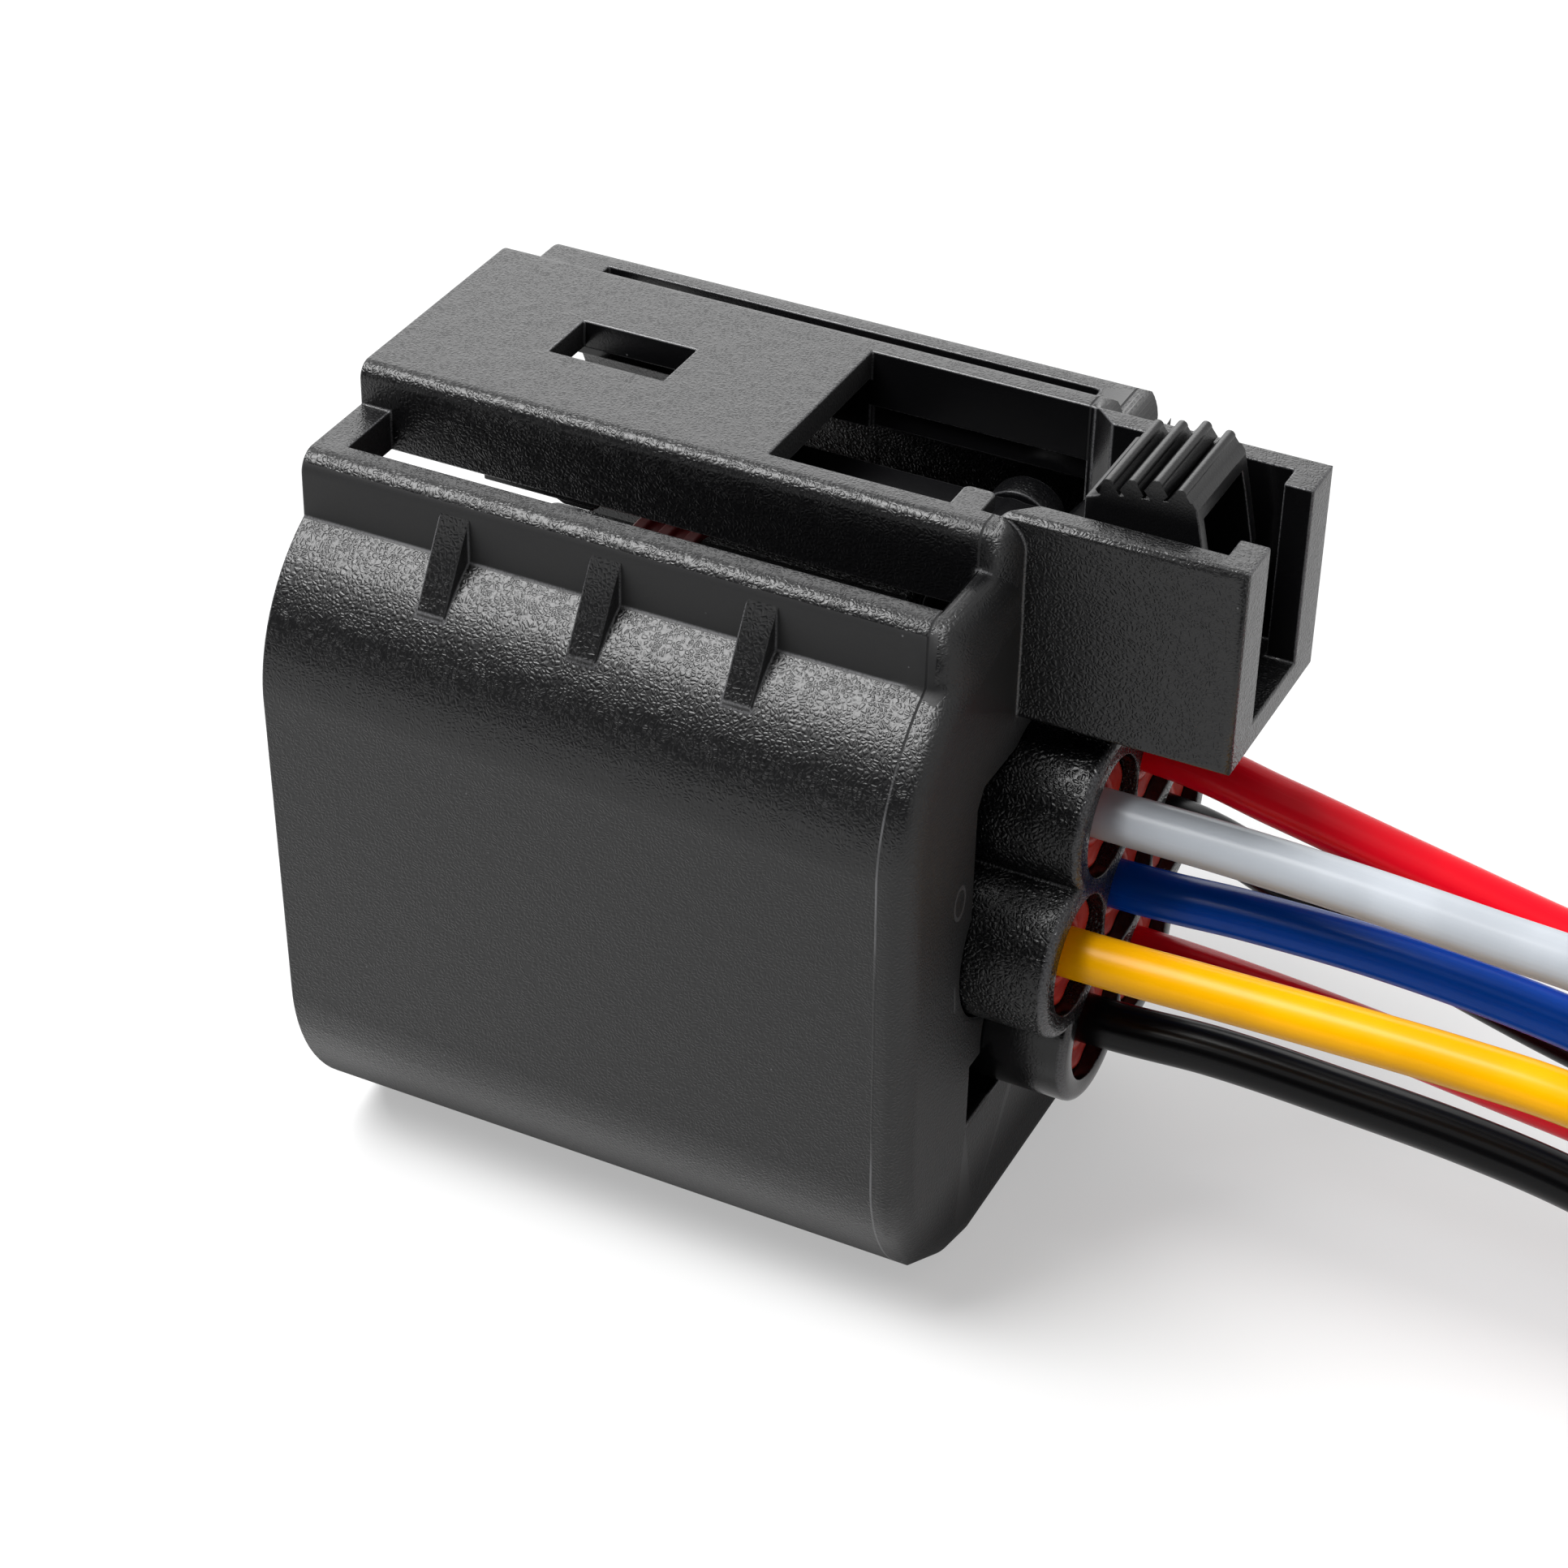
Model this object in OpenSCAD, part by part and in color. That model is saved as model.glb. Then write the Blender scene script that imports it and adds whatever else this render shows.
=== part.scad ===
// Wire to board connector: a moulded hood with a guarded latch, around a
// sealed seven-way terminal block whose leads come out at the rear.
// The origin lies on the resting face, under the middle of the hood and its guard.
// The modules draw X from the mating end to the rear, Y across and Z up.

/* [Hood] */
// Distance from the mating end to the rear face
hood_l = 38.2; // [34:0.1:44]
// Greatest half width, at the foot of the shoulders
body_half_w = 19.2; // [18:0.1:22]
// Half width at the foot of the straight sides
foot_half_w = 18.4; // [17.5:0.1:19]
// Radius of the long bottom corners
foot_r = 12.8; // [8:0.1:13.4]
// Radius of the shoulders
shoulder_r = 10; // [8:0.1:11]
// Height of the shoulder centres
shoulder_z = 32.6; // [32:0.1:34]
// Wall of the hood
wall = 1.9; // [1.5:0.1:2.2]
// Rear wall
rear_wall = 1.9; // [1.6:0.1:2.2]
// Radius of the rear edges
rear_r = 1.8; // [1:0.1:1.8]
// Radius of the rear edge along the bottom
rear_foot_r = 3.2; // [1.8:0.1:4]

/* [Rails and roof] */
// Half width over the two side rails
rail_half_w = 14.25; // [13.9:0.05:14.6]
// Height of the rail tops
rail_z = 45; // [44.5:0.1:45.6]
// Step from the body's rear face in to the rails' and the roof's
top_step = 0.04; // [0.02:0.01:0.2]
// Rounding along the outer edge of a rail
rail_edge_r = 1.2; // [0.5:0.1:1.6]
// Radius of a rail's rear corner, seen from above
rail_corner_r = 2.8; // [1.8:0.1:3]
// Bar that closes the near rail's slot at the mating end
bar_t = 1.86; // [1.5:0.02:2.4]
// Bar that closes the far rail's slot at the mating end
far_bar_t = 4.1; // [1.5:0.1:5]
// Solid stretch behind the far rail's slot
far_end_t = 1.7; // [0:0.1:3]
// Height of the underside of the bars and roof walls
skirt_z = 42.6; // [42.5:0.1:43]
// Half width of the roof
roof_half_w = 8.1; // [7.9:0.1:8.5]
// Height of the roof
roof_z = 47.4; // [47.2:0.1:48]
// Rounding along the roof edges
roof_edge_r = 0.9; // [0.4:0.1:1.2]
// Roof plate
roof_t = 1.7; // [1.4:0.1:1.7]
// Half width of the space under the roof
roof_inner_half_w = 6.27; // [6:0.01:6.6]
// Start of the small window
window_x = 8.2; // [6:0.1:12]
// Length of the small window
window_l = 6.95; // [4:0.05:9]
// Width of the small window
window_w = 3.9; // [2:0.1:6]
// Start of the large cut-out over the latch
cutout_x = 23.6; // [20:0.1:27]
// Height of the ledge line inside the cut-out
ledge_z = 44; // [43.6:0.1:45]
// Depth of the ledge
ledge_d = 0.4; // [0.2:0.1:0.6]
// Distance of the stop tab in front of the rear face
tab_back = 4.6; // [4.2:0.1:7]
// Length of the stop tab
tab_l = 1.8; // [1:0.1:2.2]
// Reach of the stop tab from its wall
tab_w = 2.6; // [1:0.1:2.6]
// Depth of the stop tab's top below the roof
tab_drop = 0.4; // [0.1:0.1:1]
// Radius of the stop tab's corners
tab_r = 0.4; // [0.2:0.1:0.8]
// Thickness of the stop tab
tab_t = 1; // [0.6:0.1:1.1]

/* [Ribs] */
// Number of ribs on each shoulder
rib_count = 3; // [1:1:4]
// Start of the first rib
rib_x = 8.45; // [3:0.05:12]
// Spacing of the ribs
rib_pitch = 8.95; // [5:0.05:9]
// Thickness of a rib
rib_t = 1.7; // [1:0.1:2.4]
// Height of a rib's top on the rail
rib_z = 43.8; // [42.5:0.1:43.9]
// Reach of a rib over the shoulder
rib_reach = 2.7; // [1.5:0.1:3]
// Height of a rib's blunt foot above the shoulder
rib_foot = 0.3; // [0.1:0.1:0.8]

/* [Guard] */
// Reach of the guard behind the rear face
guard_l = 11.8; // [10:0.1:14]
// Half width of the guard
guard_half_w = 6.35; // [6:0.05:6.9]
// Height of the guard's underside
guard_bottom_z = 35.5; // [35:0.1:36]
// Height of the guard's top
guard_top_z = 47.6; // [47.4:0.1:48.4]
// Rounding along the guard's outer edges
guard_edge_r = 0.5; // [0.2:0.1:0.8]
// Wall of the guard
guard_wall = 1.6; // [1.2:0.05:1.8]
// Floor of the guard
guard_floor = 1.6; // [1.2:0.05:2]
// Length of the lips at the guard's open end
lip_l = 1.65; // [1:0.05:2]
// Reach of the lips towards the middle
lip_w = 1.65; // [0.8:0.05:1.9]

/* [Terminal block] */
// Height of the middle row of cavities
row_z = 22.2; // [21.9:0.1:22.5]
// Spacing of the cavities across
pitch = 7; // [6.9:0.05:7.2]
// Height between the rows
row_step = 6.9; // [6.7:0.05:7]
// Radius of a cavity at its seal
seal_bore_r = 3.4; // [3.2:0.05:3.42]
// Wall around the outer cavities
block_wall = 1.35; // [1.1:0.05:1.5]
// Distance from the mating end to the tower
tower_x = 6; // [5.5:0.1:8]
// Reach of the block behind the hood's rear face
block_reach = 4.8; // [3:0.1:6]
// Depth of the seal bore
seal_bore_l = 12; // [10:0.1:13]
// Radius of the terminal channel
channel_r = 2.4; // [2.3:0.05:2.7]
// Radius of the tower's corners
tower_r = 4.3; // [4.1:0.1:4.6]
// Step out to the thicker root of the tower, behind the ring seal
root_step = 0.9; // [0.4:0.1:1.1]
// Flange that seats on the hood's rear wall and carries the latch
flange_t = 5; // [4.6:0.1:6]
// Radius of the flange's corners
flange_r = 7; // [6.6:0.1:7.4]
// Clearance around the block in the hood
block_gap = 0.15; // [0.1:0.05:0.3]

/* [Latch] */
// Width of the latch
latch_w = 6.9; // [6:0.1:7.2]
// Height of the arm's top
arm_z = 42.3; // [42:0.1:42.4]
// Thickness of the arm
arm_t = 1.7; // [1.4:0.1:2]
// Front end of the arm
arm_x = 6; // [6:0.1:10]
// Bevel along the front end
arm_bevel = 0.5; // [0.2:0.1:0.8]
// Width of the head at the front end
head_w = 11; // [8:0.1:11.2]
// Length of the head
head_l = 7; // [5:0.1:10]
// Distance of the pivot in front of the rear face
pivot_back = 4.7; // [4.2:0.1:5.2]
// Height of the pivot
pivot_z = 40.4; // [40.2:0.1:40.5]
// Radius of the pivot pins
pivot_r = 1.2; // [1:0.05:1.3]
// Clearance around the pivot pins
pivot_gap = 0.08; // [0.04:0.02:0.1]
// Thickness of the ears that carry the pins
ear_t = 1.9; // [1.5:0.1:1.9]
// Wall of an ear around its pin
ear_wall = 1; // [0.8:0.1:1.1]
// Clearance on each side of the latch
latch_side_gap = 0.3; // [0.1:0.05:0.4]
// Depth of the catch below the arm
catch_h = 1.6; // [0.8:0.1:1.8]
// Length of the catch along its lower edge
catch_l = 1.8; // [1:0.1:3]
// Distance of the catch behind the front end
catch_back = 3.8; // [2:0.1:5]
// Material of the arm around the pivot pins
boss_wall = 0.8; // [0.5:0.1:1]
// Length of the slope from the arm up to the thumb pad
slope_l = 3.5; // [2:0.1:5]
// Depth of the slope's end below the top of the pad
slope_drop = 2; // [1.5:0.1:3]
// Distance of the thumb pad behind the rear face
pad_gap = 1.85; // [1.6:0.05:2.2]
// Top of the thumb pad between its ridges
pad_z = 48.7; // [48.2:0.1:49.2]
// Distance of the first ridge behind the pad's front
ridge_x = 1.18; // [0.9:0.02:1.4]
// Radius along the top of a ridge
ridge_r = 0.3; // [0.2:0.02:0.4]
// Height of a ridge above the valley beside it
ridge_h = 0.75; // [0.5:0.05:0.9]
// Spacing of the ridges
ridge_pitch = 1.3; // [1.2:0.01:1.35]
// Wall of the hollow pad
pad_wall = 0.75; // [0.6:0.05:1]

/* [Seals, terminals and leads] */
// Diameter of a lead over its insulation
lead_d = 2.8; // [2.4:0.1:3]
// Length of a wire seal
seal_l = 8; // [6:0.1:9]
// Depth of a seal below the block's rear face
seal_recess = 0.8; // [0.5:0.05:1.2]
// Clearance around a seal and around its lead
seal_gap = 0.05; // [0.03:0.01:0.1]
// Radial height of the ribs on the seals
seal_rib = 0.45; // [0.3:0.05:0.6]
// Start of the interface seal, measured from the mating end
ring_seal_x = 10.6; // [9:0.1:13]
// Length of the interface seal
ring_seal_l = 4; // [3:0.1:6]
// Thickness of the interface seal
ring_seal_t = 1.2; // [1:0.1:1.4]
// Width and height of a terminal's box
terminal_w = 2.9; // [2.4:0.1:3.1]
// Sheet that a terminal is folded from
terminal_t = 0.4; // [0.25:0.05:0.5]
// Length of the crimp around the lead's conductor
crimp_l = 3; // [2:0.1:4]
// Length of a terminal's box
terminal_box_l = 12; // [9:0.1:14]
// Thickness of the front retainer
retainer_t = 1.8; // [1.4:0.1:2.4]
// Step around the front edge of the retainer
retainer_step = 0.5; // [0.2:0.1:0.8]
// Width of the slots that let the mating blades in
blade_w = 3.2; // [2.8:0.1:3.4]
// Height of those slots
blade_t = 1.4; // [0.8:0.1:1.8]

/* [Hidden] */
LEADS = ["white", "red_upper", "yellow", "blue", "black_rear", "black_front", "red_lower"];

$fn = 96;
eps = 0.01;
foot_y = foot_half_w - foot_r;
shoulder_y = body_half_w - shoulder_r;
cavity_end_x = hood_l - rear_wall;
rail_inner_half_w = rail_half_w - wall;
roof_under_z = roof_z - roof_t;
pivot_x = hood_l - pivot_back;
pad_x = hood_l + pad_gap;
tab_x = hood_l - tab_back;
guard_end_x = hood_l + guard_l;
guard_inner_half_w = guard_half_w - guard_wall;
guard_floor_z = guard_bottom_z + guard_floor;
rear_opening_half_w = 10.7;
rear_opening_top_z = 33.4;
lower_notch_half_w = 9.8;
lower_notch_z = 10.6;
block_end_x = hood_l + block_reach;
block_r = seal_bore_r + block_wall;
seal_end_x = block_end_x - seal_recess;
seal_start_x = seal_end_x - seal_l;
bore_start_x = block_end_x - seal_bore_l;
flange_x = cavity_end_x - flange_t;
lead_r = lead_d / 2;
lead_start_x = bore_start_x - 1;
latch_side_y = latch_w / 2 + latch_side_gap;
seal_r = seal_bore_r - seal_gap;

// Two columns above and below, three in the middle row: [y, z] of each cavity
CAVITIES = [
    [-pitch / 2, row_z + row_step], [pitch / 2, row_z + row_step],
    [-pitch, row_z], [0, row_z], [pitch, row_z],
    [-pitch / 2, row_z - row_step], [pitch / 2, row_z - row_step]
];
// The six outer cavities in order around the block
OUTER = [for (i = [0, 1, 4, 6, 5, 2]) CAVITIES[i]];
// Directions in which the long corners' rear edges are rolled over
ROUNDING_ANGLES = [15, 30, 45, 60, 75];
// Height of each ridge on the thumb pad above the pad itself
RIDGE_TOPS = [0.57, 0.87, 1.18, 0.99];

function unit(v) = v / norm(v);
function left_normal(a, b) = unit([a[1] - b[1], b[0] - a[0]]);

// Carries a 2D shape drawn in Y and Z along X, from x for a length
module along_x(x, length) {
    translate([x, 0, 0]) rotate([90, 0, 90]) linear_extrude(length) children();
}

// Carries a 2D shape drawn in X and Z across Y, centred
module across_y(width) {
    rotate([90, 0, 0]) linear_extrude(width, center = true) children();
}

// Moves what is drawn from the mating end into the part's own frame
module in_frame() {
    translate([-guard_end_x / 2, 0, 0]) children();
}

module both_sides() {
    children();
    mirror([0, 1, 0]) children();
}

// Rectangle of half width w between two heights with its top corners rounded
module rounded_top(w, low, high, r) {
    translate([-w, low]) square([2 * w, high - r - low]);
    translate([-w + r, high - r - eps]) square([2 * (w - r), r + eps]);
    for (side = [-1, 1]) translate([side * (w - r), high - r]) circle(r);
}

// Rectangle from x = 0 with its two far corners rounded, for rear edges
module rounded_end(length, low, high, r) {
    translate([0, low]) square([length - r, high - low]);
    translate([length - r - eps, low + r]) square([r + eps, high - low - 2 * r]);
    for (y = [low + r, high - r]) translate([length - r, y]) circle(r);
}

// Section of the body, drawn smaller by inset on every side
module body_section(inset = 0) {
    foot = foot_half_w - inset;
    waist = body_half_w - inset;
    for (side = [-1, 1]) {
        translate([side * foot_y, foot_r]) circle(foot_r - inset);
        translate([side * shoulder_y, shoulder_z]) circle(shoulder_r - inset);
    }
    translate([-foot_y, inset]) square([2 * foot_y, foot_r]);
    polygon([[-foot, foot_r], [foot, foot_r], [waist, shoulder_z], [-waist, shoulder_z]]);
    translate([-shoulder_y, shoulder_z - eps]) square([2 * shoulder_y, shoulder_r - inset]);
}

// Everything below a support plane square to angle in the YZ plane, its rear edge rounded
module rear_round(angle, support, r) {
    reach = 100;
    rotate([angle - 90, 0, 0]) across_y(2 * reach) rounded_end(hood_l, -reach, support, r);
}

// Main body: the section carried along X, its rear edge rolled over in short mitred arcs
module body_block() {
    side_tilt = atan2(body_half_w - foot_half_w, shoulder_z - foot_r);
    side_support = body_half_w * cos(side_tilt) - shoulder_z * sin(side_tilt);
    intersection() {
        along_x(0, hood_l) body_section();
        rear_round(-90, 0, rear_foot_r);
        for_both_sides(-side_tilt, side_support);
        intersection_for(a = ROUNDING_ANGLES) for_both_sides(a,
            shoulder_y * cos(a) + shoulder_z * sin(a) + shoulder_r);
        intersection_for(a = ROUNDING_ANGLES) for_both_sides(-a,
            foot_y * cos(a) - foot_r * sin(a) + foot_r,
            rear_r + (rear_foot_r - rear_r) * (1 - cos(a)));
    }
}

// The same rounded support plane on both sides of the body
module for_both_sides(angle, support, r = rear_r) {
    intersection() {
        rear_round(angle, support, r);
        rear_round(180 - angle, support, r);
    }
}

// A long block along the top with rounded edges, rear corners and rear edge
module top_block(half_w, low, high, edge_r, corner_r) {
    length = hood_l - top_step;
    intersection() {
        along_x(0, length) rounded_top(half_w, low, high, edge_r);
        linear_extrude(high + 1) rounded_end(length, -half_w, half_w, corner_r);
        across_y(2 * half_w + 2) translate([0, -high]) rounded_end(length, 0, 2 * high, rear_r);
    }
}

// Gusset rib from the rail wall down onto the shoulder
module rib(x) {
    foot_reach = rail_half_w + rib_reach;
    foot_z = shoulder_z + sqrt(pow(shoulder_r, 2) - pow(foot_reach - shoulder_y, 2));
    along_x(x, rib_t) polygon([
        [rail_inner_half_w, rib_z], [rail_half_w, rib_z], [foot_reach, foot_z + rib_foot],
        [foot_reach, foot_z - wall / 2], [rail_inner_half_w, foot_z]
    ]);
}

// Slot along a rail, down into the hood, from one X to another
module rail_slot(start, end) {
    translate([start, roof_half_w, skirt_z - 1])
        cube([end - start, rail_inner_half_w - roof_half_w, rail_z]);
}

// Channel behind the rear face that shields the thumb pad, before it is hollowed
module guard() {
    intersection() {
        along_x(cavity_end_x, guard_l + rear_wall) intersection() {
            rounded_top(guard_half_w, guard_bottom_z, guard_top_z, guard_edge_r);
            mirror([0, 1]) rounded_top(guard_half_w, -guard_top_z, -guard_bottom_z, guard_edge_r);
        }
        linear_extrude(guard_top_z + 1)
            rounded_end(guard_end_x, -guard_half_w, guard_half_w, guard_edge_r);
    }
}

module guard_channel() {
    channel_h = guard_top_z - guard_floor_z + 1;
    end_x = guard_end_x - lip_l;
    translate([cavity_end_x - 1, -guard_inner_half_w, guard_floor_z])
        cube([end_x - cavity_end_x + 1, 2 * guard_inner_half_w, channel_h]);
    translate([end_x - eps, -guard_inner_half_w + lip_w, guard_floor_z])
        cube([lip_l + 1, 2 * (guard_inner_half_w - lip_w), channel_h]);
}

// Space for the latch under the roof, with the large cut-out above it
module latch_space() {
    throat = roof_inner_half_w - guard_inner_half_w;
    translate([-1, -roof_inner_half_w, skirt_z - 1])
        cube([cutout_x + 1, 2 * roof_inner_half_w, roof_under_z - skirt_z + 1]);
    translate([0, 0, skirt_z - 1]) linear_extrude(guard_top_z - skirt_z + 2) intersection() {
        translate([cutout_x, -roof_inner_half_w])
            square([hood_l - cutout_x + eps, 2 * roof_inner_half_w]);
        polygon([
            [cutout_x, -roof_inner_half_w], [hood_l - throat, -roof_inner_half_w],
            [hood_l, -guard_inner_half_w], [hood_l, guard_inner_half_w],
            [hood_l - throat, roof_inner_half_w], [cutout_x, roof_inner_half_w]
        ]);
    }
    translate([cutout_x, -roof_inner_half_w - ledge_d, skirt_z - 1])
        cube([cavity_end_x - cutout_x, 2 * (roof_inner_half_w + ledge_d), ledge_z - skirt_z + 1]);
}

// Opening in the rear wall around the block, with a side relief above and below
module rear_opening() {
    for (p = CAVITIES) translate(p) circle(block_r + block_gap);
    polygon([for (p = OUTER) p]);
    for (side = [-1, 1]) {
        polygon([
            [side * pitch, row_z], [side * rear_opening_half_w, row_z + 3],
            [side * rear_opening_half_w, rear_opening_top_z - 1],
            [side * (rear_opening_half_w - 0.7), rear_opening_top_z],
            [side * pitch / 2, rear_opening_top_z]
        ]);
        translate([side > 0 ? pitch / 2 : -lower_notch_half_w, lower_notch_z])
            square([lower_notch_half_w - pitch / 2, 4.1]);
    }
}

module housing() {
    in_frame() color("#26282b") difference() {
        union() {
            difference() {
                union() {
                    body_block();
                    top_block(rail_half_w, shoulder_z + 2, rail_z, rail_edge_r, rail_corner_r);
                    top_block(roof_half_w, shoulder_z + 1, roof_z, roof_edge_r, rear_r);
                    both_sides() for (i = [0:rib_count - 1]) rib(rib_x + i * rib_pitch);
                }
                along_x(-1, cavity_end_x + 1) intersection() {
                    union() {
                        body_section(wall);
                        translate([-rail_inner_half_w, shoulder_z])
                            square([2 * rail_inner_half_w, skirt_z - shoulder_z]);
                    }
                    translate([-2 * body_half_w, 0]) square([4 * body_half_w, skirt_z]);
                }
                mirror([0, 1, 0]) rail_slot(bar_t, cavity_end_x);
                rail_slot(far_bar_t, cavity_end_x - far_end_t);
            }
            guard();
        }
        guard_channel();
        latch_space();
        translate([window_x, -window_w / 2, roof_under_z - 1])
            cube([window_l, window_w, roof_t + 2]);
        along_x(cavity_end_x - 1, rear_wall + 2) rear_opening();
    }
    in_frame() color("#26282b") translate([tab_x + tab_l, -roof_inner_half_w - ledge_d, 0])
        translate([0, 0, roof_z - tab_drop - tab_t]) rotate([0, 0, 90]) linear_extrude(tab_t)
            rounded_end(tab_w + ledge_d, 0, tab_l, tab_r);
}

// Outline around the six outer cavities at a corner radius
module block_outline(r) {
    for (p = OUTER) translate(p) circle(r);
    polygon([for (i = [0:5]) for (end = [0, 1])
        OUTER[(i + end) % 6] + (r - eps) * left_normal(OUTER[i], OUTER[(i + 1) % 6])]);
}

module terminal_block() {
    root_x = ring_seal_x + ring_seal_l + seal_gap;
    in_frame() color("#1d1f21") difference() {
        union() {
            along_x(tower_x, cavity_end_x - tower_x) block_outline(tower_r);
            along_x(root_x, cavity_end_x - root_x) block_outline(tower_r + root_step);
            along_x(flange_x, flange_t) block_outline(flange_r);
            along_x(cavity_end_x - eps, block_end_x - cavity_end_x + eps) {
                for (p = CAVITIES) translate(p) circle(block_r);
                polygon(OUTER);
            }
            both_sides() ear();
        }
        for (p = CAVITIES) translate([0, p[0], p[1]]) rotate([0, 90, 0]) {
            translate([0, 0, bore_start_x]) cylinder(r = seal_bore_r, h = seal_bore_l + 1);
            translate([0, 0, tower_x - 1]) cylinder(r = channel_r, h = bore_start_x - tower_x + 2);
        }
    }
}

// Ear on the block's flange that carries one pivot pin of the latch
module ear() {
    ear_r = pivot_r + ear_wall;
    root_z = row_z + row_step + tower_r;
    translate([pivot_x, latch_side_y + ear_t, 0]) rotate([90, 0, 0]) linear_extrude(ear_t)
        difference() {
            union() {
                translate([-ear_r, root_z]) square([2 * ear_r, pivot_z - root_z]);
                translate([0, pivot_z]) circle(ear_r);
            }
            translate([0, pivot_z]) circle(pivot_r + pivot_gap);
        }
}

// One ridge of the thumb pad: straight flanks and a rounded top
module ridge(x, top) {
    foot_z = top - ridge_h;
    round_z = top - ridge_r;
    translate([x, round_z]) circle(ridge_r);
    polygon([
        [x - ridge_pitch / 2, foot_z], [x - ridge_r, round_z], [x + ridge_r, round_z],
        [x + ridge_pitch / 2, foot_z], [x, foot_z - ridge_h]
    ]);
}

// Side outline of the thumb pad: four ridges on a block that leans back at its rear
module pad_section() {
    first_x = pad_x + ridge_x;
    last_x = first_x + 3 * ridge_pitch;
    rear_x = last_x + ridge_pitch / 2;
    for (i = [0:3]) ridge(first_x + i * ridge_pitch, pad_z + RIDGE_TOPS[i]);
    polygon([
        [pad_x, arm_z - arm_t], [pad_x, pad_z - ridge_h], [first_x, pad_z - ridge_r],
        [last_x, pad_z + RIDGE_TOPS[3] - ridge_h], [rear_x, pad_z + RIDGE_TOPS[3] - 2 * ridge_r],
        [rear_x + ridge_r, pad_z], [rear_x + pad_wall, pad_z - slope_drop],
        [rear_x + ridge_pitch, arm_z + arm_t], [rear_x + ridge_pitch, arm_z - arm_t]
    ]);
}

module latch_lever() {
    arm_low = arm_z - arm_t;
    catch_x = arm_x + catch_back;
    slope_end_z = pad_z - slope_drop;
    in_frame() color("#1b1c1e") {
        difference() {
            union() {
                across_y(latch_w) {
                    polygon([
                        [arm_x + arm_bevel, arm_low], [arm_x + arm_bevel, arm_z],
                        [pad_x - slope_l, arm_z], [pad_x, slope_end_z], [pad_x + pad_wall, slope_end_z],
                        [pad_x + pad_wall, arm_low], [catch_x + catch_l, arm_low],
                        [catch_x + catch_l, arm_low - catch_h], [catch_x, arm_low - catch_h]
                    ]);
                    pad_section();
                    translate([pivot_x, pivot_z]) circle(pivot_r + boss_wall);
                }
                across_y(head_w) polygon([
                    [arm_x, arm_low], [arm_x, arm_z - arm_bevel], [arm_x + arm_bevel, arm_z],
                    [arm_x + head_l, arm_z], [arm_x + head_l, arm_low]
                ]);
            }
            translate([pad_x + pad_wall, -latch_w / 2 + pad_wall, arm_z])
                cube([guard_l, latch_w - 2 * pad_wall, pad_z - arm_z - pad_wall]);
        }
        translate([pivot_x, 0, pivot_z]) rotate([90, 0, 0])
            cylinder(r = pivot_r, h = 2 * (latch_side_y + ear_t), center = true);
    }
}

// Plate that clips over the tower and keeps the terminals in, stepped at its front edge
module front_retainer() {
    plate_x = tower_x - retainer_t;
    in_frame() color("#3a3d40") difference() {
        union() {
            along_x(plate_x, retainer_t) block_outline(tower_r);
            along_x(plate_x - retainer_step, retainer_t) block_outline(tower_r - retainer_step);
        }
        for (p = CAVITIES) translate([0, p[0] - blade_w / 2, p[1] - blade_t / 2])
            cube([tower_x + 1, blade_w, blade_t]);
    }
}

// Ring on the tower, in front of its thicker root, that seals against the mating part
module interface_seal() {
    rib_l = ring_seal_l / 5;
    in_frame() color("#a3161a") difference() {
        union() {
            along_x(ring_seal_x, ring_seal_l) block_outline(tower_r + ring_seal_t - seal_rib);
            for (i = [0:2])
                along_x(ring_seal_x + 2 * i * rib_l, rib_l) block_outline(tower_r + ring_seal_t);
        }
        along_x(ring_seal_x - 1, ring_seal_l + 2) block_outline(tower_r + seal_gap);
    }
}

module wire_seal(i) {
    pos = CAVITIES[i];
    in_frame() color("#c3231d") translate([seal_start_x, pos[0], pos[1]]) rotate([0, 90, 0]) difference() {
        union() {
            cylinder(r = seal_r - seal_rib, h = seal_l);
            for (k = [0:2])
                translate([0, 0, k * (seal_l - 1.4) / 2]) cylinder(r = seal_r, h = 1.4);
        }
        translate([0, 0, -1]) cylinder(r = lead_r + seal_gap, h = seal_l + 2);
    }
}

// Box contact with its crimp, meeting the lead face to face
module terminal(i) {
    pos = CAVITIES[i];
    box_x = tower_x + 1;
    crimp_x = box_x + terminal_box_l;
    inner_w = terminal_w - 2 * terminal_t;
    in_frame() color("#b9a26a") translate([0, pos[0], pos[1]]) {
        difference() {
            translate([box_x, -terminal_w / 2, -terminal_w / 2])
                cube([terminal_box_l, terminal_w, terminal_w]);
            translate([box_x - 1, -inner_w / 2, -inner_w / 2])
                cube([terminal_box_l - 1, inner_w, inner_w]);
        }
        translate([crimp_x - eps, 0, 0]) rotate([0, 90, 0])
            cylinder(r = inner_w / 2, h = lead_start_x - crimp_x - crimp_l + 2 * eps);
        translate([lead_start_x - crimp_l, 0, 0]) rotate([0, 90, 0])
            cylinder(r = lead_r + terminal_t, h = crimp_l);
    }
}

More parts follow.
